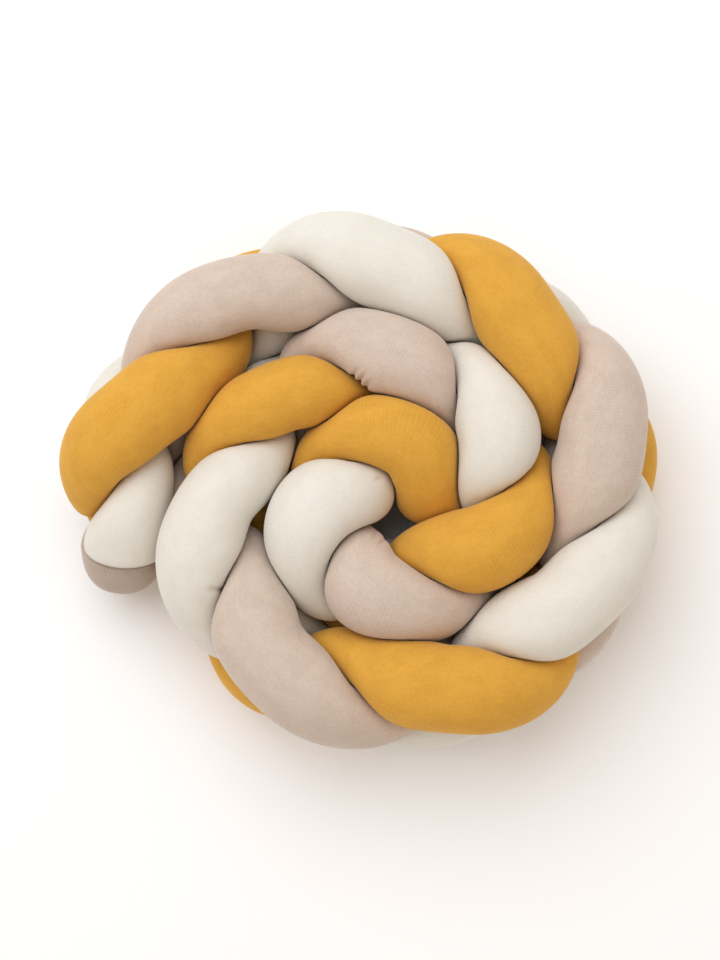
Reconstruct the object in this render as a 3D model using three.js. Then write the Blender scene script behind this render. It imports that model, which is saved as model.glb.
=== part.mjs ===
// A braided crib bumper: three filled jersey strands plaited flat, stood on edge and rolled into a coil.
// Millimetres, +Z up. The origin is on the floor, under the middle of the coil.

import * as THREE from "three";

// Driving sizes of the plait
const STRAND_RADIUS = 34; // of a strand that nothing squeezes
const SWELL = 1.16; // most that a squeezed strand fattens where it is free
const RISE = 44; // from the plait's middle line up to a strand on the top edge
const SWING = 13; // from the middle line out to a strand on either face
const FACE_SHARE = 0.25; // of the swing, which keeps a strand on its face for longer
const TURN_PER_CROSSING = (120 * Math.PI) / 180; // of the figure of eight that a strand follows
const CLEARANCE = 1.65; // from a strand's skin to the surface between it and its neighbour
const EASE = 16; // length over which a strand's centre line is rounded off
const INNER_EASE = 26; // the same in the coil's innermost turn
const INNER_EASE_FROM = 13; // crossing where that turn starts
const FOLD_SHARE = 0.85; // of the bend's radius that the skin may reach on the inside of a bend

// Where the plait ends, counted in crossings from the outer end
const SEWN_END = -0.28;
const INNER_END = 17;
const GATHER = 1; // crossings over which the strands draw together and stop twisting towards an end
const GATHERED = { radius: 0.92, rise: 0.5, swing: 0.4 }; // shares that are left at an end
const TIP_LENGTH = 30; // of the rounded tip of each strand at the inner end
const SQUARING = 60; // length over which a strand's sections turn square to it, from the seam's plane

// The end cap, a sewn pouch over the outer ends of the three strands
const CAP_HALF_WIDTH = 36;
const CAP_HALF_HEIGHT = 48;
const CAP_LENGTH = 46;
const CAP_FULLNESS = 2.4; // exponent of its rounded sections and profile
const CAP_CORE_HEIGHTS = [-28, 0, 28]; // of the points inside it that neighbours keep away from
const CAP_CORE_DEPTHS = [0, 12, 24]; // of the same points, in from its mouth
const SEAM_GAP = 0.3;

// Fineness of the solids
const RING_STEP = 15;
const NEIGHBOUR_STEP = 5; // along the lines that the strands keep away from
const STRAND_SIDES = 16;
const TIP_RINGS = 4;
const CAP_RINGS = 6;
const CAP_SIDES = 24;
const LINE_SAMPLES = 3000;
const TENSION_AROUND = 0.6; // of the skin, next to a pressure of 1 that swells it
const TENSION_ALONG = 0.8;
const SETTLING_SWEEPS = 40;
const GIRTH_ROUNDS = 4;
const GIRTH_EASE = 0.8; // exponent that keeps a round from overshooting
const OWN_TURN = 3 * STRAND_RADIUS; // a strand doesn't count as its own neighbour nearer than this
const LEAST_SLOPE = 1e-6; // of a ray towards a wall that it can meet
const BELL_REACH = 3; // widths of the bell that eases a line, to either side
const SPLINE_TENSION = 0.5; // of the curve through the crossings

// The plait's middle line, at each crossing on the top edge, from the outer end to the middle of the coil.
// The first and last rows lie past the ends.
const CROSSINGS = [
  { x: -205, y: -86, z: 18 },
  { x: -199, y: -25, z: 61 },
  { x: -188, y: 54, z: 76 },
  { x: -94, y: 149, z: 76 },
  { x: 22, y: 173, z: 76 },
  { x: 135, y: 125, z: 76 },
  { x: 198, y: 30, z: 76 },
  { x: 167, y: -101, z: 76 },
  { x: 67, y: -170, z: 76 },
  { x: -73, y: -145, z: 76 },
  { x: -122, y: -22, z: 76 },
  { x: -66, y: 69, z: 76 },
  { x: 31, y: 97, z: 76 },
  { x: 109, y: 38, z: 76 },
  { x: 104, y: -52, z: 76 },
  { x: 7, y: -95, z: 76 },
  { x: -41, y: -28, z: 76 },
  { x: 31, y: 41, z: 76 },
  { x: 80, y: -28, z: 58 },
  { x: 44, y: -88, z: 30 },
];
const ROWS_BEFORE_FIRST = 1;

// Stretches with less or more filling: middle and span in crossings, share of the strand's radius
const UNEVEN_STRETCHES = [
  { strand: "strand_cream", middle: -0.28, span: 0.35, share: 1.06 },
  { strand: "strand_cream", middle: 0.4, span: 0.35, share: 0.84 },
  { strand: "strand_cream", middle: 9.3, span: 0.4, share: 0.86 },
  { strand: "strand_cream", middle: 15.6, span: 0.4, share: 1.18 },
  { strand: "strand_mustard", middle: 10, span: 0.9, share: 0.84 },
  { strand: "strand_mustard", middle: 16.35, span: 0.45, share: 1.15 },
  { strand: "strand_beige", middle: 2, span: 0.9, share: 0.88 },
  { strand: "strand_beige", middle: 14.6, span: 0.35, share: 1.08 },
];

// Where the plait leans in at its top edge and out at its lower edge: middle and span in crossings
const LEANS = [
  { middle: 0.25, span: 0.4, most: -3 },
  { middle: 1.1, span: 0.3, most: 4 },
  { middle: 1.8, span: 0.35, most: -8 },
  { middle: 4.4, span: 0.7, most: 5 },
  { middle: 8.5, span: 0.4, most: -7 },
  { middle: 9.4, span: 0.45, most: 5 },
];

// Each strand and its first crossing on the top edge
const STRANDS = [
  { name: "strand_cream", colour: 0xe8e4d9, crossing: 0 },
  { name: "strand_mustard", colour: 0xdda23f, crossing: 1 },
  { name: "strand_beige", colour: 0xcdb9a8, crossing: 2 },
];
const CLOTH_ROUGHNESS = 0.9;
const CAP_COLOUR = 0xcdb9a8;

const UP = new THREE.Vector3(0, 0, 1);
const middleLine = new THREE.CatmullRomCurve3(
  CROSSINGS.map(({ x, y, z }) => new THREE.Vector3(x, y, z)),
  false,
  "catmullrom",
  SPLINE_TENSION,
);

// The middle line's point and directions at a place counted in crossings.
function spineAt(crossing) {
  const part = (crossing + ROWS_BEFORE_FIRST) / (CROSSINGS.length - 1);
  const point = middleLine.getPoint(part);
  const along = middleLine.getTangent(part);
  const out = new THREE.Vector3().crossVectors(UP, along).normalize();
  const up = new THREE.Vector3().crossVectors(along, out);
  return { point, along, out, up };
}

// How far the strands have twisted, in crossings: evenly, but slowing to a stop at both ends.
function twistAt(crossing) {
  const fromSewn = crossing - SEWN_END;
  const toInner = INNER_END - crossing;
  if (fromSewn < GATHER) return SEWN_END + (fromSewn ** 2 / GATHER + GATHER) / 2;
  if (toInner < GATHER) return INNER_END - (toInner ** 2 / GATHER + GATHER) / 2;
  return crossing;
}

// A share that falls from 1 in the plait to `least` at its ends.
function gatheredTo(least, crossing) {
  const toEnd = Math.min(crossing - SEWN_END, INNER_END - crossing);
  return THREE.MathUtils.lerp(
    least,
    1,
    THREE.MathUtils.smoothstep(toEnd, 0, GATHER),
  );
}

// A strand's radius where nothing touches it.
function radiusAt(strand, crossing) {
  return UNEVEN_STRETCHES.filter((row) => row.strand === strand.name).reduce(
    (radius, { middle, span, share }) => {
      const bell = Math.exp(-(((crossing - middle) / span) ** 2));
      return radius * (1 + (share - 1) * bell);
    },
    STRAND_RADIUS * gatheredTo(GATHERED.radius, crossing),
  );
}

// How far the plait leans in at its top edge, and out at its lower edge.
function leanAt(crossing) {
  return LEANS.reduce(
    (sum, { middle, span, most }) =>
      sum + most * Math.exp(-(((crossing - middle) / span) ** 2)),
    0,
  );
}

// A strand's centre: a figure of eight across the plait, smaller where the ends are gathered.
function strandCentre(strand, crossing) {
  const turn =
    Math.PI / 2 + (twistAt(crossing) - strand.crossing) * TURN_PER_CROSSING;
  const { point, out, up } = spineAt(crossing);
  const rise = RISE * gatheredTo(GATHERED.rise, crossing);
  const swing = SWING * gatheredTo(GATHERED.swing, crossing);
  const sideways =
    swing * (Math.sin(2 * turn) + FACE_SHARE * Math.sin(4 * turn)) -
    leanAt(crossing) * Math.sin(turn);
  return point
    .addScaledVector(up, rise * Math.sin(turn))
    .addScaledVector(out, sideways);
}

// Points of a line smoothed by a bell, its width counted in points. Both ends stay in place.
function eased(points, width) {
  const half = Math.round(BELL_REACH * width);
  const bell = Array.from({ length: half + 1 }, (_, i) =>
    Math.exp(-0.5 * (i / width) ** 2),
  );
  const last = points.length - 1;
  const mirrored = (end, point) => end.clone().multiplyScalar(2).sub(point);
  const longer = (i) => {
    if (i < 0) return mirrored(points[0], points[-i]);
    if (i > last) return mirrored(points[last], points[2 * last - i]);
    return points[i];
  };
  return points.map((_, i) => {
    const sum = new THREE.Vector3();
    let weights = 0;
    for (let step = -half; step <= half; step++) {
      const weight = bell[Math.abs(step)];
      sum.addScaledVector(longer(i + step), weight);
      weights += weight;
    }
    return sum.divideScalar(weights);
  });
}

// Distances of a line's points from its first point.
function arcsAlong(points) {
  const arcs = [0];
  for (let i = 1; i < points.length; i++)
    arcs.push(arcs[i - 1] + points[i].distanceTo(points[i - 1]));
  return arcs;
}

// The place, counted in crossings, of a point of a centre line.
function crossingAt(sample) {
  return THREE.MathUtils.lerp(SEWN_END, INNER_END, sample / LINE_SAMPLES);
}

// A strand's centre line, finely sampled and rounded off.
function centreLine(strand) {
  const points = Array.from({ length: LINE_SAMPLES + 1 }, (_, i) =>
    strandCentre(strand, crossingAt(i)),
  );
  const spacing = arcsAlong(points).at(-1) / LINE_SAMPLES;
  const inner = eased(points, INNER_EASE / spacing);
  return eased(points, EASE / spacing).map((point, i) => {
    const share = THREE.MathUtils.smoothstep(
      crossingAt(i),
      INNER_EASE_FROM,
      INNER_EASE_FROM + 1,
    );
    return point.lerp(inner[i], share);
  });
}

// Distances along a strand, in even steps and then closing up over its rounded tip.
function ringArcs(length, spacing) {
  const body = length - TIP_LENGTH;
  const steps = Math.round(body / spacing);
  const arcs = [];
  for (let step = 0; step < steps; step++) arcs.push((body * step) / steps);
  for (let step = 0; step <= TIP_RINGS; step++) {
    const angle = ((step / (TIP_RINGS + 1)) * Math.PI) / 2;
    arcs.push(body + TIP_LENGTH * Math.sin(angle));
  }
  return arcs;
}

// Stations along a strand: centre, direction, distance from the sewn end, radius and free radius, which
// closes over the tip.
function stationsOf(strand, line, spacing) {
  const lineArcs = arcsAlong(line);
  const length = lineArcs.at(-1);
  let i = 1;
  const stations = ringArcs(length, spacing).map((arc) => {
    while (i < LINE_SAMPLES && lineArcs[i] < arc) i++;
    const share = (arc - lineArcs[i - 1]) / (lineArcs[i] - lineArcs[i - 1]);
    const intoTip = Math.max(0, 1 - (length - arc) / TIP_LENGTH);
    const radius = radiusAt(strand, crossingAt(i - 1 + share));
    return {
      centre: line[i - 1].clone().lerp(line[i], share),
      along: line[i].clone().sub(line[i - 1]).normalize(),
      arc,
      radius,
      free: radius * Math.sqrt(1 - intoTip ** 2),
    };
  });
  const seam = spineAt(SEWN_END).along;
  for (const { along, arc } of stations) {
    const own = THREE.MathUtils.smoothstep(arc, 0, SQUARING);
    along.lerpVectors(seam, along.clone(), own).normalize();
  }
  return stations;
}

// The plane between two neighbours, nearer to the slimmer one: its normal, and its distance from `centre`.
function wallBetween(centre, core, other) {
  const normal = other.centre.clone().sub(core.centre);
  const apart = normal.length();
  normal.divideScalar(apart);
  const fromCore =
    (apart * core.radius) / (core.radius + other.radius) - CLEARANCE;
  const toCore = core.centre.clone().sub(centre).dot(normal);
  return { normal, distance: toCore + fromCore };
}

function reachToWalls(ray, walls) {
  let reach = Infinity;
  for (const { normal, distance } of walls) {
    const slope = ray.dot(normal);
    if (slope > LEAST_SLOPE) reach = Math.min(reach, distance / slope);
  }
  return reach;
}

function reachToFloor(centre, ray) {
  return ray.z < -LEAST_SLOPE ? -centre.z / ray.z : Infinity;
}

function girthOf(points) {
  return points.reduce(
    (sum, point, i) =>
      sum + point.distanceTo(points[(i + 1) % points.length]),
    0,
  );
}

// Adds to each station of a strand its rays, square to the strand, and the limit of each ray's reach.
function setRays(stations, index, neighbours) {
  const near = 2 * STRAND_RADIUS * SWELL + RING_STEP;
  stations.forEach((station, i) => {
    const { centre, arc, along } = station;
    const before = stations[Math.max(i - 1, 0)];
    const after = stations[Math.min(i + 1, stations.length - 1)];
    const bend = after.along
      .clone()
      .sub(before.along)
      .divideScalar(after.arc - before.arc);
    const level = new THREE.Vector3().crossVectors(UP, along).normalize();
    const over = new THREE.Vector3().crossVectors(along, level);
    const walls = neighbours
      .filter(
        (n) =>
          n.centre.distanceTo(centre) < near &&
          (n.owner !== index || Math.abs(n.arc - arc) > OWN_TURN) &&
          (n.owner !== "cap" || arc > OWN_TURN),
      )
      .map((n) => wallBetween(centre, station, n));
    station.rays = Array.from({ length: STRAND_SIDES }, (_, side) => {
      const angle = (2 * Math.PI * side) / STRAND_SIDES;
      return level
        .clone()
        .multiplyScalar(Math.cos(angle))
        .addScaledVector(over, Math.sin(angle));
    });
    station.limits = station.rays.map((ray) => {
      const inward = ray.dot(bend);
      const fold = inward > LEAST_SLOPE ? FOLD_SHARE / inward : Infinity;
      return Math.min(fold, reachToWalls(ray, walls), reachToFloor(centre, ray));
    });
  });
}

function ringAt(station, reaches) {
  return station.rays.map((ray, side) =>
    station.centre.clone().addScaledVector(ray, reaches[side]),
  );
}

// The mean of the values before and after one in a list.
function meanOfNext(values, i) {
  const before = values[Math.max(i - 1, 0)];
  const after = values[Math.min(i + 1, values.length - 1)];
  return (before + after) / 2;
}

// A skin under tension that swells towards the wanted radii inside its limits.
function settled(skin, stations, wanted) {
  const last = skin.length - 1;
  const firmness = 1 + TENSION_AROUND + TENSION_ALONG;
  for (let sweep = 0; sweep < SETTLING_SWEEPS; sweep++) {
    const before = skin;
    skin = before.map((reaches, i) =>
      reaches.map((reach, side) => {
        const next = reaches[(side + 1) % STRAND_SIDES];
        const around = (reaches.at(side - 1) + next) / 2;
        const inside = i > 0 && i < last;
        const along = inside
          ? (before[i - 1][side] + before[i + 1][side]) / 2
          : reach;
        const pulled =
          wanted[i] + TENSION_AROUND * around + TENSION_ALONG * along;
        return Math.min(pulled / firmness, stations[i].limits[side]);
      }),
    );
  }
  return skin;
}

// How far a strand's skin reaches along its rays. The jersey tube keeps its girth, so a strand that is
// squeezed on one side fattens on the others.
function skinOf(stations) {
  let wanted = stations.map((station) => station.free);
  let skin = stations.map(({ limits, free }) =>
    limits.map((limit) => Math.min(limit, free)),
  );
  for (let round = 0; round < GIRTH_ROUNDS; round++) {
    skin = settled(skin, stations, wanted);
    const grown = wanted.map((radius, i) => {
      const { free } = stations[i];
      const girth = girthOf(ringAt(stations[i], skin[i]));
      const kept = radius * Math.pow((2 * Math.PI * free) / girth, GIRTH_EASE);
      return THREE.MathUtils.clamp(kept, free, SWELL * free);
    });
    wanted = grown.map((radius, i) => (radius + meanOfNext(grown, i)) / 2);
  }
  return settled(skin, stations, wanted);
}

// A closed skin over rings of equal size, with a point at the middle of each end.
function skinGeometry(rings, firstPoint, lastPoint) {
  const sides = rings[0].length;
  const points = [...rings.flat(), firstPoint, lastPoint];
  const first = points.length - 2;
  const last = points.length - 1;
  const faces = [];
  for (let side = 0; side < sides; side++) {
    const next = (side + 1) % sides;
    faces.push(first, next, side);
    for (let ring = 0; ring < rings.length - 1; ring++) {
      const a = ring * sides + side;
      const b = ring * sides + next;
      faces.push(a, b, b + sides, a, b + sides, a + sides);
    }
    const end = (rings.length - 1) * sides;
    faces.push(end + side, end + next, last);
  }
  const geometry = new THREE.BufferGeometry().setFromPoints(points);
  geometry.setIndex(faces);
  geometry.computeVertexNormals();
  return geometry;
}

function meanOf(points) {
  return points
    .reduce((sum, point) => sum.add(point), new THREE.Vector3())
    .divideScalar(points.length);
}

function cloth(colour) {
  return new THREE.MeshStandardMaterial({
    color: colour,
    roughness: CLOTH_ROUGHNESS,
    metalness: 0,
  });
}

// A strand: rings from the flat sewn end to a rounded tip at the inner end.
function strandMesh(strand, stations, tip) {
  const skin = skinOf(stations);
  const rings = stations.map((station, i) => ringAt(station, skin[i]));
  const mesh = new THREE.Mesh(
    skinGeometry(rings, meanOf(rings[0]), tip),
    cloth(strand.colour),
  );
  mesh.name = strand.name;
  return mesh;
}

// The points inside the cap that the coil's next turn keeps away from.
function capCore() {
  const { point, along, up } = spineAt(SEWN_END);
  return CAP_CORE_HEIGHTS.flatMap((height) =>
    CAP_CORE_DEPTHS.map((depth) => ({
      centre: point
        .clone()
        .addScaledVector(up, height)
        .addScaledVector(along, -depth),
      arc: 0,
      radius: STRAND_RADIUS,
      owner: "cap",
    })),
  );
}

function capMesh(core, neighbours) {
  const { point, along, out, up } = spineAt(SEWN_END);
  const strands = neighbours.filter(
    (n) => n.owner !== "cap" && n.arc > OWN_TURN,
  );
  const pairs = strands.map((other) => {
    const away = (candidate) => candidate.centre.distanceTo(other.centre);
    const nearest = core.reduce((best, candidate) =>
      away(candidate) < away(best) ? candidate : best,
    );
    return { nearest, other };
  });
  const rings = [];
  for (let step = 0; step <= CAP_RINGS; step++) {
    const depth = Math.sin(((step / (CAP_RINGS + 1)) * Math.PI) / 2);
    const width = Math.pow(
      1 - Math.pow(depth, CAP_FULLNESS),
      1 / CAP_FULLNESS,
    );
    const centre = point
      .clone()
      .addScaledVector(along, -SEAM_GAP - CAP_LENGTH * depth);
    const walls = pairs.map(({ nearest, other }) =>
      wallBetween(centre, nearest, other),
    );
    rings.push(
      Array.from({ length: CAP_SIDES }, (_, side) => {
        const angle = (-2 * Math.PI * side) / CAP_SIDES;
        const ray = out
          .clone()
          .multiplyScalar(Math.cos(angle))
          .addScaledVector(up, Math.sin(angle));
        const free = Math.pow(
          Math.pow(Math.abs(Math.cos(angle)) / CAP_HALF_WIDTH, CAP_FULLNESS) +
            Math.pow(Math.abs(Math.sin(angle)) / CAP_HALF_HEIGHT, CAP_FULLNESS),
          -1 / CAP_FULLNESS,
        );
        const walled = Math.max(reachToWalls(ray, walls), CLEARANCE);
        const reach = Math.min(free * width, walled, reachToFloor(centre, ray));
        return centre.clone().addScaledVector(ray, reach);
      }),
    );
  }
  const tip = point.clone().addScaledVector(along, -SEAM_GAP - CAP_LENGTH);
  const mesh = new THREE.Mesh(
    skinGeometry(rings, meanOf(rings[0]), tip),
    cloth(CAP_COLOUR),
  );
  mesh.name = "end_cap";
  return mesh;
}

const bumper = new THREE.Group();
const core = capCore();
const lines = STRANDS.map(centreLine);
const neighbours = [
  ...STRANDS.flatMap((strand, owner) =>
    stationsOf(strand, lines[owner], NEIGHBOUR_STEP).map((station) => ({
      ...station,
      owner,
    })),
  ),
  ...core,
];
STRANDS.forEach((strand, index) => {
  const stations = stationsOf(strand, lines[index], RING_STEP);
  setRays(stations, index, neighbours);
  bumper.add(strandMesh(strand, stations, lines[index].at(-1)));
});
bumper.add(capMesh(core, neighbours));

export default bumper;
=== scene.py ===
"""Looks of a braided crib bumper, rolled up on its edge: three filled jersey strands and a sewn end cap.

Sizes are in millimetres until a mesh is made, except the camera's and the studio's, which are in metres.
The frame is the solids' own.
"""

import math

import bmesh
import bpy
import numpy as np
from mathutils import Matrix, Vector
from mathutils.bvhtree import BVHTree


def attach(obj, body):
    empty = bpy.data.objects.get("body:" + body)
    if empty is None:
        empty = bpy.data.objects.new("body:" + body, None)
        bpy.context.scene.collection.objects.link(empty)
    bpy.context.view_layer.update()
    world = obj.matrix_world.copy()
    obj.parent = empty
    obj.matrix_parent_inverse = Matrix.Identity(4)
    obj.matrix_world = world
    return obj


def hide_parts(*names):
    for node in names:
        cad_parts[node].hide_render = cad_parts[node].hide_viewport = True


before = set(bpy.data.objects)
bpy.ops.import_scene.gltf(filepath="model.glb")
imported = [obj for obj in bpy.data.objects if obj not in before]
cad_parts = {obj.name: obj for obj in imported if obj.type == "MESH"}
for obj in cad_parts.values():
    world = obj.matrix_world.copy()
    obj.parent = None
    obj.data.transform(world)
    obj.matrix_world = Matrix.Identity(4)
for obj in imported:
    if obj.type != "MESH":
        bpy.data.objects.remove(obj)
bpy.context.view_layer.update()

MM = 0.001

# The plait, as in the solids
STRAND_RADIUS = 34  # of a strand that nothing squeezes
SWELL = 1.16  # most that a squeezed strand fattens where it is free
RISE = 44  # from the plait's middle line up to a strand on the top edge
SWING = 13  # from the middle line out to a strand on either face
FACE_SHARE = 0.25  # of the swing, which moves a strand's outermost points nearer to mid height
TURN_PER_CROSSING = math.radians(120)  # of the figure of eight that a strand follows
SEWN_END = -0.28  # counted in crossings, like the inner end
INNER_END = 17
GATHER = 1  # crossings over which the strands draw together towards an end
GATHERED_RADIUS = 0.92  # share that is left at an end, like the next two
GATHERED_RISE = 0.5
GATHERED_SWING = 0.4
TIP_LENGTH = 30  # of the rounded tip of each strand at the inner end
SQUARING = 60  # length over which a strand's sections turn square to it, from the seam's plane
CAP_HALF_WIDTH = 36
CAP_HALF_HEIGHT = 48
CAP_LENGTH = 46
CAP_FULLNESS = 2.4  # exponent of its rounded sections and profile
CAP_CORE_HEIGHTS = (-28, 0, 28)  # of the points inside it that neighbours keep away from
CAP_CORE_DEPTHS = (0, 12, 24)  # of the same points, in from its mouth
SEAM_GAP = 0.3

# The plait's middle line at each crossing on the top edge: x, y, z
# The first row and the last two lie at or past the ends.
ROWS_BEFORE_FIRST = 1
CROSSINGS = (
    (-205, -86, 18),
    (-199, -25, 61),
    (-188, 54, 76),
    (-94, 149, 76),
    (22, 173, 76),
    (135, 125, 76),
    (198, 30, 76),
    (167, -101, 76),
    (67, -170, 76),
    (-73, -145, 76),
    (-122, -22, 76),
    (-66, 69, 76),
    (31, 97, 76),
    (109, 38, 76),
    (104, -52, 76),
    (7, -95, 76),
    (-41, -28, 76),
    (31, 41, 76),
    (80, -28, 58),
    (44, -88, 30),
)

# Stretches with less or more filling: strand, middle and span in crossings, share of the radius
UNEVEN_STRETCHES = (
    ("cream", -0.28, 0.35, 1.06),
    ("cream", 0.4, 0.35, 0.84),
    ("cream", 9.3, 0.4, 0.86),
    ("cream", 15.6, 0.4, 1.18),
    ("mustard", 10.0, 0.9, 0.84),
    ("mustard", 16.35, 0.45, 1.15),
    ("beige", 2.0, 0.9, 0.88),
    ("beige", 14.6, 0.35, 1.08),
)

# Where the plait leans in at its top edge and out at its lower edge: middle and span in crossings, and how
# far it leans
LEANS = (
    (0.25, 0.4, -3),
    (1.1, 0.3, 4),
    (1.8, 0.35, -8),
    (4.4, 0.7, 5),
    (8.5, 0.4, -7),
    (9.4, 0.45, 5),
)

# How a strand's skin settles against its neighbours
CLEARANCE = 0.45  # from a skin to the wall between it and its neighbour
FOLD_SHARE = 0.85  # of the bend's radius that the skin may reach on the inside of a bend
TENSION_AROUND = 5.0  # of the skin, next to a pressure of 1 that swells it
TENSION_ALONG = 5.0
SETTLING_SWEEPS = 60
GIRTH_ROUNDS = 4
GIRTH_EASE = 0.8  # exponent that keeps a round from overshooting
OWN_TURN = 3 * STRAND_RADIUS  # a strand doesn't count as its own neighbour nearer than this
NEIGHBOUR_REACH = 2 * STRAND_RADIUS * SWELL + 20  # within which neighbours count
LEAST_SLOPE = 1e-6  # of a ray towards a wall that it can meet
SEAM_DRAW = 0.08  # share of a strand's radius that the seam draws in
SEAM_DRAW_LENGTH = 12
MOUTH_DRAW = 0.025  # the same of the cap's mouth
MOUTH_DRAW_LENGTH = 2.5

# A short cloth pass: the skin was cut as a straight tube, so it ruffles on the inside of bends
CLOTH_FRAMES = 12
CLOTH_SPEED = 3.0
CLOTH_QUALITY = 3
CLOTH_MASS = 0.02
CLOTH_STIFFNESS = 15.0
CLOTH_SHEAR = 5.0
CLOTH_BENDING = 0.1
CLOTH_DAMPING = 0.5
CLOTH_PRESSURE = 8.0
CLOTH_HOLD = 0.001  # how firmly each point is held in its place
CLOTH_MOST = 4  # that a point may move

# Columns of the neighbour samples, after x, y and z
ARC = 3  # distance along the strand
OWNER = 4  # the strand's number, or the cap's
RADIUS = 5
CAP_OWNER = -1

# Fineness
LINE_SAMPLES = 3000
EASE = 16  # length over which a strand's line is rounded off
INNER_EASE = 26  # the same in the coil's innermost turn
INNER_EASE_FROM = 13  # crossing where that turn starts
BELL_REACH = 3  # widths of the bell that eases a line, to either side
TANGENT_STEP = 1e-3  # crossings
NEIGHBOUR_STEP = 5
RING_STEP = 6
STRAND_SIDES = 48
TIP_RINGS = 7
CAP_SIDES = 64
CAP_RINGS = 18

# Each strand: first crossing on the top edge, and the colours of its yarn, of the dips between its
# stitches, which are painted shade darker than the yarn, and of its fuzz
STRANDS = {
    "cream": {
        "crossing": 0,
        "yarn": (0.75, 0.715, 0.64),
        "shaded_dip": (0.72, 0.685, 0.605),
        "fuzz": (0.95, 0.95, 0.93),
    },
    "mustard": {
        "crossing": 1,
        "yarn": (0.70, 0.36, 0.053),
        "shaded_dip": (0.61, 0.30, 0.037),
        "fuzz": (0.95, 0.72, 0.3),
    },
    "beige": {
        "crossing": 2,
        "yarn": (0.625, 0.505, 0.42),
        "shaded_dip": (0.55, 0.435, 0.355),
        "fuzz": (0.95, 0.93, 0.9),
    },
}

# The cap's beige, darker than the strands' as painted shade on its downturned end
SHADED_CAP_CLOTH = {"yarn": (0.49, 0.39, 0.32), "shaded_dip": (0.43, 0.335, 0.27), "fuzz": (0.85, 0.82, 0.78)}

# Small gathers of the skin: strand, x, y, heading in degrees, length, width, depth
PUCKERS = (
    ("beige", -8.5, 82.4, 42, 6, 2.0, 2.4),
    ("beige", -3.2, 78.2, 42, 6, 2.0, 3.0),
    ("beige", 1.6, 73.2, 42, 6, 2.0, 2.4),
    ("beige", 10.2, -44.7, 80, 4, 1.8, 1.5),
    ("beige", 16.7, -50.4, 50, 4, 1.8, 1.5),
    ("cream", -116.9, -90.4, 5, 6, 2.5, 2.5),
    ("cream", 14.5, -0.5, 20, 4, 2.0, 1.5),
)
PUCKER_REACH = 2.5  # lengths and widths over which the skin is cut finer and dented
PUCKER_CUTS = 2
PUCKER_LOWEST = 80  # above the floor

# Stitches around the cap's mouth
STITCH_INSET = 4.4  # from the mouth
STITCH_SPACING = 3.0
STITCH_LENGTH = 2.3
STITCH_RADIUS = 0.45
STITCH_RAISE = 0.25  # of its middle above the cap's skin
STITCH_SEGMENTS = 6
STITCH_RINGS = 5
THREAD_COLOUR = (0.64, 0.56, 0.49)
THREAD_ROUGHNESS = 0.8

# The knit: columns of stitches run along a strand, rows of them around it
COLUMNS_AROUND = 150
COLUMN_WIDTH = 2 * math.pi * STRAND_RADIUS / COLUMNS_AROUND
ROW_HEIGHT = 1.8
STITCH_SLANT = 0.25  # rows by which a stitch's two legs rise from its middle
WANDER = 0.8  # of the columns and rows off their straight lines
STITCH_DEPTH = 0.16
FADE_SCALE = 55
FADE_RANGE = (0.4, 0.62)  # of the noise by which the stitches fade in and out
FADED = 0.35  # share of a stitch's depth that is left where it fades
LEG_SHARE = 0.7  # of a stitch's height that its slanting legs make
GROOVE_SHARPNESS = 5
WANDER_SCALE = 70
FLECK_SHARE = 0.05
TONE_SHARE = 0.02
TONE_SCALE = 22
NOISE_DETAIL = 2
TONE_DETAIL = 3
NOISE_MIDDLE = (0.5, 0.5, 0.5)

# The jersey's finish
JERSEY_ROUGHNESS = 0.92
JERSEY_SPECULAR = 0.2
FUZZ_WEIGHT = 0.4
FUZZ_ROUGHNESS = 0.45
BUMP_STRENGTH = 0.8
MIX_FIRST = 6  # sockets of a Mix node that mixes colours
MIX_SECOND = 7
MIX_RESULT = 2

# The photo's view, from almost straight above
CAMERA_ELEVATION = math.radians(86)
CAMERA_DISTANCE = 1.6
CAMERA_TARGET = Vector((-0.002, 0, 0.110))
FRAME_HEIGHT = 0.7872  # at the target

# The studio
FLOOR_REACH = 4
FLOOR_COLOUR = (0.97, 0.97, 0.97)
WORLD_COLOUR = (1, 0.91, 0.82)
WORLD_STRENGTH = 0.70
KEY_PLACE = (-0.7, 1.1, 2.3)
KEY_TARGET = (0, 0, 0.1)
KEY_SIZE = 2.8
KEY_POWER = 46
KEY_COLOUR = (0.92, 1, 1.1)

UP = np.array((0.0, 0.0, 1.0))


def unit(vectors):
    return vectors / np.linalg.norm(vectors, axis=-1, keepdims=True)


def smoothstep(value, low, high):
    share = np.clip((value - low) / (high - low), 0, 1)
    return share * share * (3 - 2 * share)


def angles_around(sides):
    return 2 * math.pi * np.arange(sides) / sides


def add_object(name, data):
    added = bpy.data.objects.new(name, data)
    bpy.context.scene.collection.objects.link(added)
    return added


def set_camera():
    data = bpy.data.cameras.new("camera")
    data.sensor_fit = "VERTICAL"
    data.angle = 2 * math.atan(FRAME_HEIGHT / 2 / CAMERA_DISTANCE)
    camera = add_object("camera", data)
    away = Vector((0, -math.cos(CAMERA_ELEVATION), math.sin(CAMERA_ELEVATION)))
    camera.location = CAMERA_TARGET + away * CAMERA_DISTANCE
    camera.rotation_euler = (math.pi / 2 - CAMERA_ELEVATION, 0, 0)
    bpy.context.scene.camera = camera


def middle_line(crossing):
    """Points of the plait's middle line, at places counted in crossings."""
    rows = np.array(CROSSINGS, float)
    rows = np.vstack([2 * rows[0] - rows[1], rows, 2 * rows[-1] - rows[-2]])
    place = np.asarray(crossing, float) + ROWS_BEFORE_FIRST
    row = np.clip(np.floor(place).astype(int), 0, len(CROSSINGS) - 2)
    t = (place - row)[:, None]
    a, b, c, d = (rows[row + step] for step in range(4))
    return (
        b
        + t * (c - a) / 2
        + t**2 * (2 * a - 5 * b + 4 * c - d) / 2
        + t**3 * (3 * b - a - 3 * c + d) / 2
    )


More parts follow.
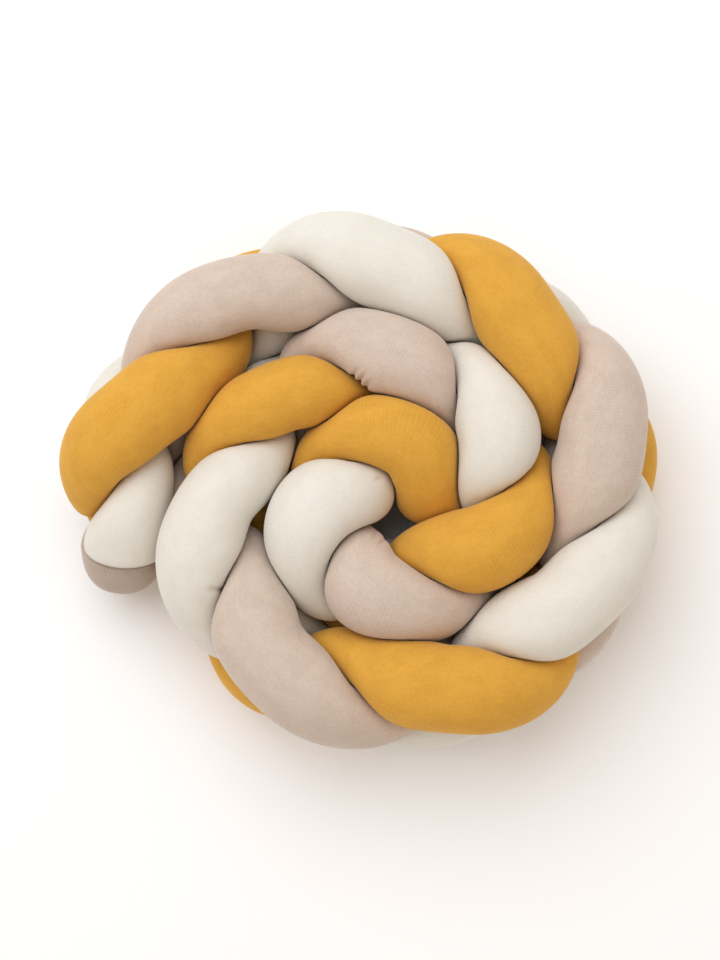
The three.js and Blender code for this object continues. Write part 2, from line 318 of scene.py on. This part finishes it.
def spine(crossing):
    """The middle line's points, and its directions along, out and up."""
    crossing = np.asarray(crossing, float)
    along = unit(middle_line(crossing + TANGENT_STEP) - middle_line(crossing - TANGENT_STEP))
    out = unit(np.cross(UP, along))
    return middle_line(crossing), along, out, np.cross(along, out)


def twist(crossing):
    """How far the strands have twisted, in crossings: evenly, but slowing to a stop at both ends."""
    from_sewn = crossing - SEWN_END
    to_inner = INNER_END - crossing
    turned = np.where(
        from_sewn < GATHER,
        SEWN_END + (from_sewn**2 / GATHER + GATHER) / 2,
        crossing,
    )
    return np.where(
        to_inner < GATHER,
        INNER_END - (to_inner**2 / GATHER + GATHER) / 2,
        turned,
    )


def gathered(least, crossing):
    """A share that falls from 1 in the plait to least at its ends."""
    to_end = np.minimum(crossing - SEWN_END, INNER_END - crossing)
    return least + (1 - least) * smoothstep(to_end, 0, GATHER)


def strand_radius(name, crossing):
    """A strand's radius where nothing touches it."""
    radius = STRAND_RADIUS * gathered(GATHERED_RADIUS, crossing)
    for uneven_name, middle, span, share in UNEVEN_STRETCHES:
        if uneven_name == name:
            radius *= 1 + (share - 1) * np.exp(-(((crossing - middle) / span) ** 2))
    return radius


def distances_along(points):
    steps = np.linalg.norm(np.diff(points, axis=0), axis=1)
    return np.concatenate([[0], np.cumsum(steps)])


def line_length(line):
    _, _, arc = line
    return arc[-1]


def eased(values, width):
    """Values smoothed along their first axis by a bell of that width, counted in values."""
    half = round(BELL_REACH * width)
    bell = np.exp(-0.5 * (np.arange(-half, half + 1) / width) ** 2)
    before = 2 * values[0] - values[half:0:-1]
    after = 2 * values[-1] - values[-2 : -half - 2 : -1]
    longer = np.vstack([before, values, after])
    columns = [np.convolve(column, bell / bell.sum(), "valid") for column in longer.T]
    return np.stack(columns, 1)


def strand_line(first_crossing):
    """A strand's centre line: crossings, points and distances from the sewn end."""
    crossing = np.linspace(SEWN_END, INNER_END, LINE_SAMPLES)
    turn = math.pi / 2 + (twist(crossing) - first_crossing) * TURN_PER_CROSSING
    point, _, out, up = spine(crossing)
    rise = RISE * gathered(GATHERED_RISE, crossing) * np.sin(turn)
    swing = SWING * gathered(GATHERED_SWING, crossing)
    swing *= np.sin(2 * turn) + FACE_SHARE * np.sin(4 * turn)
    for middle, span, most in LEANS:
        swing -= most * np.exp(-(((crossing - middle) / span) ** 2)) * np.sin(turn)
    points = point + up * rise[:, None] + out * swing[:, None]
    density = LINE_SAMPLES / distances_along(points)[-1]
    inner = smoothstep(crossing, INNER_EASE_FROM, INNER_EASE_FROM + 1)[:, None]
    inner_points = eased(points, INNER_EASE * density)
    points = eased(points, EASE * density) * (1 - inner) + inner_points * inner
    return crossing, points, distances_along(points)


def at_distances(line, arcs):
    """Crossings, points and directions of a strand's centre line at distances along it."""
    crossing, points, arc = line
    directions = unit(np.gradient(points, arc, axis=0))

    def place(values):
        return np.stack([np.interp(arcs, arc, column) for column in values.T], 1)

    return np.interp(arcs, arc, crossing), place(points), unit(place(directions))


def ring_distances(length):
    """Even steps along a strand, then closing up over its rounded tip."""
    body = length - TIP_LENGTH
    steps = round(body / RING_STEP)
    tip = np.arange(TIP_RINGS + 1) / (TIP_RINGS + 1) * math.pi / 2
    return np.concatenate(
        [np.arange(steps) * body / steps, body + TIP_LENGTH * np.sin(tip)]
    )


def neighbour_samples(lines, cap_core):
    """Points that every skin keeps its share of the way from: x, y, z and the columns named above."""
    samples = []
    for owner, (name, line) in enumerate(lines.items()):
        arcs = np.arange(0, line_length(line), NEIGHBOUR_STEP)
        crossing, points, _ = at_distances(line, arcs)
        radius = strand_radius(name, crossing)
        samples.append(np.column_stack([points, arcs, np.full(len(arcs), owner), radius]))
    count = len(cap_core)
    marks = (np.zeros(count), np.full(count, CAP_OWNER), np.full(count, STRAND_RADIUS))
    return np.vstack(samples + [np.column_stack([cap_core, *marks])])


def to_wall(distance, own_radius, other_radius):
    """How far the wall between two neighbours is from the first one's middle."""
    return distance * own_radius / (own_radius + other_radius) - CLEARANCE


def reach_to_walls(rays, normals, distances):
    """How far each ray goes before it meets the first of the walls."""
    slope = rays @ normals.T
    reach = np.where(slope > LEAST_SLOPE, distances / np.maximum(slope, LEAST_SLOPE), np.inf)
    return reach.min(axis=1, initial=np.inf)


def reach_to_floor(centre, rays):
    falling = rays[..., 2] < -LEAST_SLOPE
    return np.where(falling, -centre[..., 2] / np.where(falling, rays[..., 2], 1), np.inf)


def strand_rays(directions):
    """Rays square to a strand, anticlockwise from its level side."""
    level = unit(np.cross(UP, directions))
    over = np.cross(directions, level)
    angle = angles_around(STRAND_SIDES)
    return (
        level[:, None] * np.cos(angle)[None, :, None]
        + over[:, None] * np.sin(angle)[None, :, None]
    )


def strand_limits(owner, centres, directions, arcs, rays, radii, samples):
    """How far a strand's skin may reach along each ray."""
    bends = np.gradient(directions, arcs, axis=0)
    limits = np.empty(rays.shape[:2])
    for i, centre in enumerate(centres):
        offset = samples[:, :3] - centre
        distance = np.linalg.norm(offset, axis=1)
        others = distance < NEIGHBOUR_REACH
        others &= (samples[:, OWNER] != owner) | (abs(samples[:, ARC] - arcs[i]) > OWN_TURN)
        others &= (samples[:, OWNER] != CAP_OWNER) | (arcs[i] > OWN_TURN)
        normals = offset[others] / distance[others, None]
        walls = to_wall(distance[others], radii[i], samples[others, RADIUS])
        inward = np.maximum(rays[i] @ bends[i], LEAST_SLOPE)
        limits[i] = np.minimum(reach_to_walls(rays[i], normals, walls), FOLD_SHARE / inward)
    return np.minimum(limits, reach_to_floor(centres[:, None], rays))


def settled(reach, limits, wanted):
    """A skin under tension that swells towards the wanted radius inside its limits."""
    for _ in range(SETTLING_SWEEPS):
        around = (np.roll(reach, 1, 1) + np.roll(reach, -1, 1)) / 2
        along = reach.copy()
        along[1:-1] = (reach[2:] + reach[:-2]) / 2
        pulled = wanted[:, None] + TENSION_AROUND * around + TENSION_ALONG * along
        reach = np.minimum(pulled / (1 + TENSION_AROUND + TENSION_ALONG), limits)
    return reach


def ruffled(name, rings, rays, free, arcs):
    """How far a cloth pass moves a strand's skin out along its rays."""
    angle = angles_around(STRAND_SIDES)
    straight = np.empty(rings.shape)
    straight[..., 0] = arcs[:, None]
    straight[..., 1] = free[:, None] * np.cos(angle)
    straight[..., 2] = free[:, None] * np.sin(angle)
    ends = straight[[0, -1]].mean(1)
    mesh = skin_mesh(name, rings, arcs, rings[0].mean(0), rings[-1].mean(0))
    piece = add_object(name, mesh)
    piece.shape_key_add(name="coiled")
    cut = piece.shape_key_add(name="straight")
    cut.data.foreach_set("co", np.vstack([straight.reshape(-1, 3), ends]).ravel() * MM)
    cut.value = 0
    hold = piece.vertex_groups.new(name="hold")
    hold.add(range(len(mesh.vertices)), CLOTH_HOLD, "REPLACE")
    cloth = piece.modifiers.new("cloth", "CLOTH")
    cloth.collision_settings.use_collision = False
    cloth.point_cache.frame_start = 1
    cloth.point_cache.frame_end = CLOTH_FRAMES
    settings = cloth.settings
    settings.rest_shape_key = cut
    settings.vertex_group_mass = hold.name
    settings.quality = CLOTH_QUALITY
    settings.time_scale = CLOTH_SPEED
    settings.mass = CLOTH_MASS
    settings.tension_stiffness = CLOTH_STIFFNESS
    settings.compression_stiffness = CLOTH_STIFFNESS
    settings.shear_stiffness = CLOTH_SHEAR
    settings.bending_stiffness = CLOTH_BENDING
    settings.tension_damping = CLOTH_DAMPING
    settings.compression_damping = CLOTH_DAMPING
    settings.shear_damping = CLOTH_DAMPING
    settings.use_pressure = True
    settings.uniform_pressure_force = CLOTH_PRESSURE
    settings.effector_weights.gravity = 0
    scene = bpy.context.scene
    for frame in range(1, CLOTH_FRAMES + 1):
        scene.frame_set(frame)
    skin = piece.evaluated_get(bpy.context.evaluated_depsgraph_get()).data
    points = np.empty(3 * len(skin.vertices))
    skin.vertices.foreach_get("co", points)
    bpy.data.objects.remove(piece)
    bpy.data.meshes.remove(mesh)
    scene.frame_set(1)
    points = points[: rings.size].reshape(rings.shape) / MM
    return np.clip(((points - rings) * rays).sum(2), -CLOTH_MOST, CLOTH_MOST)


def strand_rings(owner, name, line, samples):
    """A strand's skin as rings of points, with the distance of each ring from the sewn end."""
    length = line_length(line)
    arcs = ring_distances(length)
    crossing, centres, directions = at_distances(line, arcs)
    seam = spine([SEWN_END])[1][0]
    own = smoothstep(arcs, 0, SQUARING)[:, None]
    directions = unit(seam + (directions - seam) * own)
    rays = strand_rays(directions)
    radii = strand_radius(name, crossing)
    limits = strand_limits(owner, centres, directions, arcs, rays, radii, samples)
    into_tip = np.clip(1 - (length - arcs) / TIP_LENGTH, 0, 1)
    free = radii * (1 - SEAM_DRAW * np.exp(-((arcs / SEAM_DRAW_LENGTH) ** 2)))
    free *= np.sqrt(1 - into_tip**2)
    wanted = free
    reach = np.minimum(free[:, None], limits)
    for _ in range(GIRTH_ROUNDS):
        reach = settled(reach, limits, wanted)
        points = centres[:, None] + rays * reach[..., None]
        girth = np.linalg.norm(points - np.roll(points, 1, 1), axis=2).sum(1)
        wanted = wanted * (2 * math.pi * free / girth) ** GIRTH_EASE
        wanted = np.clip(wanted, free, SWELL * free)
        wanted[1:-1] = (wanted[2:] + 2 * wanted[1:-1] + wanted[:-2]) / 4
    reach = settled(reach, limits, wanted)
    rings = centres[:, None] + rays * reach[..., None]
    reach = np.minimum(reach + ruffled(name, rings, rays, free, arcs), limits)
    return centres[:, None] + rays * reach[..., None], arcs


def cap_core_points():
    """The points inside the cap that the coil's next turn keeps away from."""
    point, along, _, up = (row[0] for row in spine([SEWN_END]))
    return np.array(
        [point + up * h - along * d for h in CAP_CORE_HEIGHTS for d in CAP_CORE_DEPTHS]
    )


def cap_rings(core, samples):
    """The end cap's skin as rings, from its turned-in mouth to its blunt tip."""
    point, along, out, up = (row[0] for row in spine([SEWN_END]))
    others = samples[(samples[:, OWNER] != CAP_OWNER) & (samples[:, ARC] > OWN_TURN)]
    apart = others[:, None, :3] - core
    nearest = np.linalg.norm(apart, axis=2).argmin(1)
    apart = apart[np.arange(len(others)), nearest]
    distance = np.linalg.norm(apart, axis=1)
    normals = apart / distance[:, None]
    walls_from_core = to_wall(distance, STRAND_RADIUS, others[:, RADIUS])
    angle = -angles_around(CAP_SIDES)
    rays = out * np.cos(angle)[:, None] + up * np.sin(angle)[:, None]
    free = (
        (abs(np.cos(angle)) / CAP_HALF_WIDTH) ** CAP_FULLNESS
        + (abs(np.sin(angle)) / CAP_HALF_HEIGHT) ** CAP_FULLNESS
    ) ** (-1 / CAP_FULLNESS)
    depths = np.sin(np.arange(CAP_RINGS) / CAP_RINGS * math.pi / 2)
    rings = []
    for depth in depths:
        width = (1 - depth**CAP_FULLNESS) ** (1 / CAP_FULLNESS)
        width *= 1 - MOUTH_DRAW * math.exp(-((depth * CAP_LENGTH / MOUTH_DRAW_LENGTH) ** 2))
        centre = point - along * (SEAM_GAP + CAP_LENGTH * depth)
        walls = walls_from_core + ((core[nearest] - centre) * normals).sum(1)
        walled = np.maximum(reach_to_walls(rays, normals, walls), CLEARANCE)
        reach = np.minimum(np.minimum(free * width, walled), reach_to_floor(centre, rays))
        rings.append(centre + rays * reach[:, None])
    tip = point - along * (SEAM_GAP + CAP_LENGTH)
    return np.array(rings), SEAM_GAP + CAP_LENGTH * depths, tip


def shade_smooth(mesh):
    mesh.polygons.foreach_set("use_smooth", [True] * len(mesh.polygons))


def skin_mesh(name, rings, distances, first_point, last_point):
    """A closed skin over rings of points, with a UV map in metres: along, then around."""
    count, sides = rings.shape[:2]
    points = np.vstack([rings.reshape(-1, 3), first_point, last_point]) * MM
    first = count * sides
    last = first + 1
    steps = np.linalg.norm(np.roll(rings, -1, 1) - rings, axis=2)
    around = np.hstack([np.zeros((count, 1)), np.cumsum(steps, 1)])
    around *= 2 * math.pi * STRAND_RADIUS * MM / around[:, -1:]
    length = distances * MM
    faces = []
    corners = []
    for side in range(sides):
        after = (side + 1) % sides
        faces.append((first, after, side))
        corners += [(length[0], around[0, side + s]) for s in (0, 1, 0)]
        for ring in range(count - 1):
            a = ring * sides
            b = a + sides
            faces.append((a + side, a + after, b + after, b + side))
            corners += [
                (length[ring], around[ring, side]),
                (length[ring], around[ring, side + 1]),
                (length[ring + 1], around[ring + 1, side + 1]),
                (length[ring + 1], around[ring + 1, side]),
            ]
        end = (count - 1) * sides
        faces.append((end + side, end + after, last))
        corners += [(length[-1], around[-1, side + s]) for s in (0, 1, 0)]
    mesh = bpy.data.meshes.new(name)
    mesh.from_pydata(points.tolist(), [], faces)
    uv = mesh.uv_layers.new(name="jersey")
    uv.data.foreach_set("uv", np.array(corners, np.float32).ravel())
    shade_smooth(mesh)
    mesh.update()
    return mesh


def evaluated_mesh(piece):
    """A piece's mesh with its modifiers applied, which are then removed."""
    whole = piece.evaluated_get(bpy.context.evaluated_depsgraph_get())
    mesh = bpy.data.meshes.new_from_object(whole)
    piece.modifiers.clear()
    plain = piece.data
    piece.data = mesh
    bpy.data.meshes.remove(plain)
    mesh.name = piece.name
    return mesh


def pucker(mesh, rows):
    """Cuts a skin finer around its gathers and dents it there."""

    def dents_at(vert):
        if vert.co.z < PUCKER_LOWEST * MM:
            return []
        depths = []
        for _, x, y, heading, length, width, depth in rows:
            turn = math.radians(heading)
            right = vert.co.x / MM - x
            far = vert.co.y / MM - y
            along = (right * math.cos(turn) + far * math.sin(turn)) / length
            across = (far * math.cos(turn) - right * math.sin(turn)) / width
            if max(abs(along), abs(across)) < PUCKER_REACH:
                depths.append(depth * math.exp(-(along**2) - across**2))
        return depths

    skin = bmesh.new()
    skin.from_mesh(mesh)
    near = {vert for vert in skin.verts if dents_at(vert)}
    edges = [edge for edge in skin.edges if near.issuperset(edge.verts)]
    bmesh.ops.subdivide_edges(skin, edges=edges, cuts=PUCKER_CUTS, use_grid_fill=True)
    skin.normal_update()
    for vert in skin.verts:
        vert.co -= vert.normal * max(dents_at(vert), default=0) * MM
    skin.to_mesh(mesh)
    skin.free()
    shade_smooth(mesh)


def soft_piece(name, mesh, material, node, puckers=()):
    """Puts a filled piece in the frame in place of its plain solid."""
    piece = add_object(name, mesh)
    mesh.materials.append(material)
    smooth = piece.modifiers.new("smooth", "SUBSURF")
    smooth.levels = 1
    smooth.render_levels = 1
    mesh = evaluated_mesh(piece)
    if puckers:
        pucker(mesh, puckers)
    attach(piece, "root")
    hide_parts(node)
    return piece


def stitch_tree():
    """Geometry nodes that set a row of small stitches along a line."""
    tree = bpy.data.node_groups.new("stitch_row", "GeometryNodeTree")
    for name, kind in (
        ("Geometry", "NodeSocketGeometry"),
        ("Spacing", "NodeSocketFloat"),
        ("Size", "NodeSocketVector"),
        ("Thread", "NodeSocketMaterial"),
    ):
        tree.interface.new_socket(name, in_out="INPUT", socket_type=kind)
    tree.interface.new_socket("Geometry", in_out="OUTPUT", socket_type="NodeSocketGeometry")
    given = tree.nodes.new("NodeGroupInput").outputs
    result = tree.nodes.new("NodeGroupOutput").inputs
    link = tree.links.new
    line = tree.nodes.new("GeometryNodeMeshToCurve")
    link(given["Geometry"], line.inputs["Mesh"])
    places = tree.nodes.new("GeometryNodeResampleCurve")
    places.mode = "LENGTH"
    link(line.outputs["Curve"], places.inputs["Curve"])
    link(given["Spacing"], places.inputs["Length"])
    bead = tree.nodes.new("GeometryNodeMeshUVSphere")
    bead.inputs["Segments"].default_value = STITCH_SEGMENTS
    bead.inputs["Rings"].default_value = STITCH_RINGS
    bead.inputs["Radius"].default_value = 1
    stitch = tree.nodes.new("GeometryNodeTransform")
    link(bead.outputs["Mesh"], stitch.inputs["Geometry"])
    link(given["Size"], stitch.inputs["Scale"])
    turn = tree.nodes.new("FunctionNodeAlignRotationToVector")
    turn.axis = "Z"
    link(tree.nodes.new("GeometryNodeInputTangent").outputs["Tangent"], turn.inputs["Vector"])
    row = tree.nodes.new("GeometryNodeInstanceOnPoints")
    link(places.outputs["Curve"], row.inputs["Points"])
    link(stitch.outputs["Geometry"], row.inputs["Instance"])
    link(turn.outputs["Rotation"], row.inputs["Rotation"])
    real = tree.nodes.new("GeometryNodeRealizeInstances")
    link(row.outputs["Instances"], real.inputs["Geometry"])
    sewn = tree.nodes.new("GeometryNodeSetMaterial")
    link(real.outputs["Geometry"], sewn.inputs["Geometry"])
    link(given["Thread"], sewn.inputs["Material"])
    link(sewn.outputs["Geometry"], result["Geometry"])
    return tree


def pale_thread():
    """Matt thread of the stitches around the cap's mouth."""
    material = bpy.data.materials.new("pale_thread")
    material.use_nodes = True
    shader = material.node_tree.nodes["Principled BSDF"]
    shader.inputs["Base Color"].default_value = (*THREAD_COLOUR, 1)
    shader.inputs["Roughness"].default_value = THREAD_ROUGHNESS
    return material


def add_cap_stitches(cap, rings, distances):
    """A row of stitches around the cap, just in from its mouth."""
    skin = BVHTree.FromObject(cap, bpy.context.evaluated_depsgraph_get())
    ring = np.searchsorted(distances, STITCH_INSET)
    share = (STITCH_INSET - distances[ring - 1]) / (distances[ring] - distances[ring - 1])
    points = []
    for point in rings[ring - 1] + (rings[ring] - rings[ring - 1]) * share:
        place, normal, _, _ = skin.find_nearest(Vector(point * MM))
        points.append(place + normal * STITCH_RAISE * MM)
    count = len(points)
    line = bpy.data.meshes.new("cap_stitches")
    line.from_pydata(points, [(i, (i + 1) % count) for i in range(count)], [])
    piece = add_object("cap_stitches", line)
    tree = stitch_tree()
    sewing = piece.modifiers.new("sewing", "NODES")
    sewing.node_group = tree
    sizes = {
        "Spacing": STITCH_SPACING * MM,
        "Size": (STITCH_RADIUS * MM, STITCH_RADIUS * MM, STITCH_LENGTH / 2 * MM),
        "Thread": pale_thread(),
    }
    for socket in tree.interface.items_tree:
        if socket.in_out == "INPUT" and socket.name in sizes:
            sewing[socket.identifier] = sizes[socket.name]
    shade_smooth(evaluated_mesh(piece))
    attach(piece, "root")


def knit_group():
    """Stitches of a fine jersey on a UV map in metres: along the strand, then around it."""
    tree = bpy.data.node_groups.new("jersey_knit", "ShaderNodeTree")
    for name, kind in (
        ("Place", "NodeSocketVector"),
        ("Column Width", "NodeSocketFloat"),
        ("Row Height", "NodeSocketFloat"),
        ("Slant", "NodeSocketFloat"),
        ("Wander", "NodeSocketFloat"),
    ):
        tree.interface.new_socket(name, in_out="INPUT", socket_type=kind)
    for name in ("Height", "Fleck", "Tone"):
        tree.interface.new_socket(name, in_out="OUTPUT", socket_type="NodeSocketFloat")
    given = tree.nodes.new("NodeGroupInput").outputs
    result = tree.nodes.new("NodeGroupOutput").inputs

    def put(socket, value):
        if isinstance(value, bpy.types.NodeSocket):
            tree.links.new(value, socket)
        else:
            socket.default_value = value

    def result_of(kind, operation, values):
        node = tree.nodes.new(kind)
        node.operation = operation
        for socket, value in zip(node.inputs, values):
            put(socket, value)
        return node.outputs[0]

    def math_node(operation, *values):
        return result_of("ShaderNodeMath", operation, values)

    def vector_node(operation, *values):
        return result_of("ShaderNodeVectorMath", operation, values)

    def noise(place, scale, detail):
        node = tree.nodes.new("ShaderNodeTexNoise")
        put(node.inputs["Vector"], place)
        node.inputs["Scale"].default_value = scale
        node.inputs["Detail"].default_value = detail
        return node.outputs

    drift = noise(given["Place"], WANDER_SCALE, NOISE_DETAIL)["Color"]
    drift = vector_node("SUBTRACT", drift, NOISE_MIDDLE)
    drift = vector_node("MULTIPLY", drift, given["Wander"])
    split = tree.nodes.new("ShaderNodeSeparateXYZ")
    put(split.inputs[0], vector_node("ADD", given["Place"], drift))
    column = math_node("DIVIDE", split.outputs["Y"], given["Column Width"])
    from_middle = math_node("ABSOLUTE", math_node("SUBTRACT", math_node("FRACT", column), 0.5))
    rise = math_node("MULTIPLY", from_middle, given["Slant"])
    row = math_node("ADD", math_node("DIVIDE", split.outputs["X"], given["Row Height"]), rise)
    leg = math_node("SINE", math_node("MULTIPLY", row, 2 * math.pi))
    leg = math_node("MULTIPLY_ADD", leg, LEG_SHARE / 2, 1 - LEG_SHARE / 2)
    groove = math_node("POWER", math_node("MULTIPLY", from_middle, 2), GROOVE_SHARPNESS)
    stitch = math_node("MULTIPLY", leg, math_node("SUBTRACT", 1, groove))
    fade = tree.nodes.new("ShaderNodeMapRange")
    fade.interpolation_type = "SMOOTHSTEP"
    put(fade.inputs["Value"], noise(given["Place"], FADE_SCALE, NOISE_DETAIL)["Fac"])
    fade.inputs["From Min"].default_value = FADE_RANGE[0]
    fade.inputs["From Max"].default_value = FADE_RANGE[1]
    fade.inputs["To Min"].default_value = FADED
    depth = math_node("MULTIPLY", fade.outputs["Result"], math_node("SUBTRACT", 1, stitch))
    put(result["Height"], math_node("SUBTRACT", 1, depth))
    cell = tree.nodes.new("ShaderNodeCombineXYZ")
    put(cell.inputs["X"], math_node("FLOOR", column))
    put(cell.inputs["Y"], math_node("FLOOR", row))
    fleck = tree.nodes.new("ShaderNodeTexWhiteNoise")
    put(fleck.inputs["Vector"], cell.outputs[0])
    put(result["Fleck"], fleck.outputs["Value"])
    put(result["Tone"], noise(given["Place"], TONE_SCALE, TONE_DETAIL)["Fac"])
    return tree


def jersey(name, knit, yarn, shaded_dip, fuzz):
    """Matt cotton jersey in one colour, with painted shade in the dips between its stitches."""
    material = bpy.data.materials.new(name)
    material.use_nodes = True
    nodes = material.node_tree.nodes
    link = material.node_tree.links.new
    shader = nodes["Principled BSDF"]
    shader.inputs["Roughness"].default_value = JERSEY_ROUGHNESS
    shader.inputs["Specular IOR Level"].default_value = JERSEY_SPECULAR
    shader.inputs["Sheen Weight"].default_value = FUZZ_WEIGHT
    shader.inputs["Sheen Roughness"].default_value = FUZZ_ROUGHNESS
    shader.inputs["Sheen Tint"].default_value = (*fuzz, 1)
    place = nodes.new("ShaderNodeUVMap")
    place.uv_map = "jersey"
    stitches = nodes.new("ShaderNodeGroup")
    stitches.node_tree = knit
    stitches.inputs["Column Width"].default_value = COLUMN_WIDTH * MM
    stitches.inputs["Row Height"].default_value = ROW_HEIGHT * MM
    stitches.inputs["Slant"].default_value = 2 * STITCH_SLANT
    stitches.inputs["Wander"].default_value = WANDER * MM
    link(place.outputs["UV"], stitches.inputs["Place"])

    def mixed(blend, factor, first, second):
        node = nodes.new("ShaderNodeMix")
        node.data_type = "RGBA"
        node.blend_type = blend
        if isinstance(factor, float):
            node.inputs["Factor"].default_value = factor
        else:
            link(factor, node.inputs["Factor"])
        for socket, value in ((MIX_FIRST, first), (MIX_SECOND, second)):
            if isinstance(value, tuple):
                node.inputs[socket].default_value = (*value, 1)
            else:
                link(value, node.inputs[socket])
        return node.outputs[MIX_RESULT]

    # Painted shade: the dips between the stitches take the darker colour
    colour = mixed("MIX", stitches.outputs["Height"], shaded_dip, yarn)
    colour = mixed("OVERLAY", FLECK_SHARE, colour, stitches.outputs["Fleck"])
    colour = mixed("OVERLAY", TONE_SHARE, colour, stitches.outputs["Tone"])
    link(colour, shader.inputs["Base Color"])
    bump = nodes.new("ShaderNodeBump")
    bump.inputs["Strength"].default_value = BUMP_STRENGTH
    bump.inputs["Distance"].default_value = STITCH_DEPTH * MM
    link(stitches.outputs["Height"], bump.inputs["Height"])
    link(bump.outputs["Normal"], shader.inputs["Normal"])
    return material


def add_floor():
    mesh = bpy.data.meshes.new("floor")
    corners = [(x * FLOOR_REACH, y * FLOOR_REACH, 0) for x, y in ((-1, -1), (1, -1), (1, 1), (-1, 1))]
    mesh.from_pydata(corners, [], [(0, 1, 2, 3)])
    floor = add_object("floor", mesh)
    material = bpy.data.materials.new("pale_floor")
    material.use_nodes = True
    shader = material.node_tree.nodes["Principled BSDF"]
    shader.inputs["Base Color"].default_value = (*FLOOR_COLOUR, 1)
    shader.inputs["Roughness"].default_value = 1
    shader.inputs["Specular IOR Level"].default_value = 0
    mesh.materials.append(material)


def add_key_light():
    data = bpy.data.lights.new("key", "AREA")
    data.color = KEY_COLOUR
    data.shape = "DISK"
    data.size = KEY_SIZE
    data.energy = KEY_POWER
    light = add_object("key", data)
    light.location = KEY_PLACE
    aim = Vector(KEY_TARGET) - Vector(KEY_PLACE)
    light.rotation_euler = aim.to_track_quat("-Z", "Y").to_euler()


def set_lights():
    world = bpy.data.worlds.new("studio")
    world.use_nodes = True
    background = world.node_tree.nodes["Background"]
    background.inputs["Color"].default_value = (*WORLD_COLOUR, 1)
    background.inputs["Strength"].default_value = WORLD_STRENGTH
    bpy.context.scene.world = world
    add_key_light()
    bpy.context.scene.view_settings.view_transform = "Standard"


set_camera()
lines = {name: strand_line(row["crossing"]) for name, row in STRANDS.items()}
core = cap_core_points()
samples = neighbour_samples(lines, core)
knit = knit_group()
cloths = {
    name: jersey(f"{name}_jersey", knit, row["yarn"], row["shaded_dip"], row["fuzz"])
    for name, row in STRANDS.items()
}
for owner, (name, line) in enumerate(lines.items()):
    rings, distances = strand_rings(owner, name, line, samples)
    _, points, _ = line
    mesh = skin_mesh(f"{name}_strand", rings, distances, rings[0].mean(0), points[-1])
    gathers = [row for row in PUCKERS if row[0] == name]
    soft_piece(f"{name}_strand", mesh, cloths[name], f"strand_{name}", gathers)
rings, distances, tip = cap_rings(core, samples)
mesh = skin_mesh("sewn_cap", rings, distances, rings[0].mean(0), tip)
# The cap's cloth is darker than the strands' beige as painted shade
shaded_cap_cloth = jersey("cap_jersey_painted_shade", knit, **SHADED_CAP_CLOTH)
cap = soft_piece("sewn_cap", mesh, shaded_cap_cloth, "end_cap")
add_cap_stitches(cap, rings, distances)
add_floor()
set_lights()
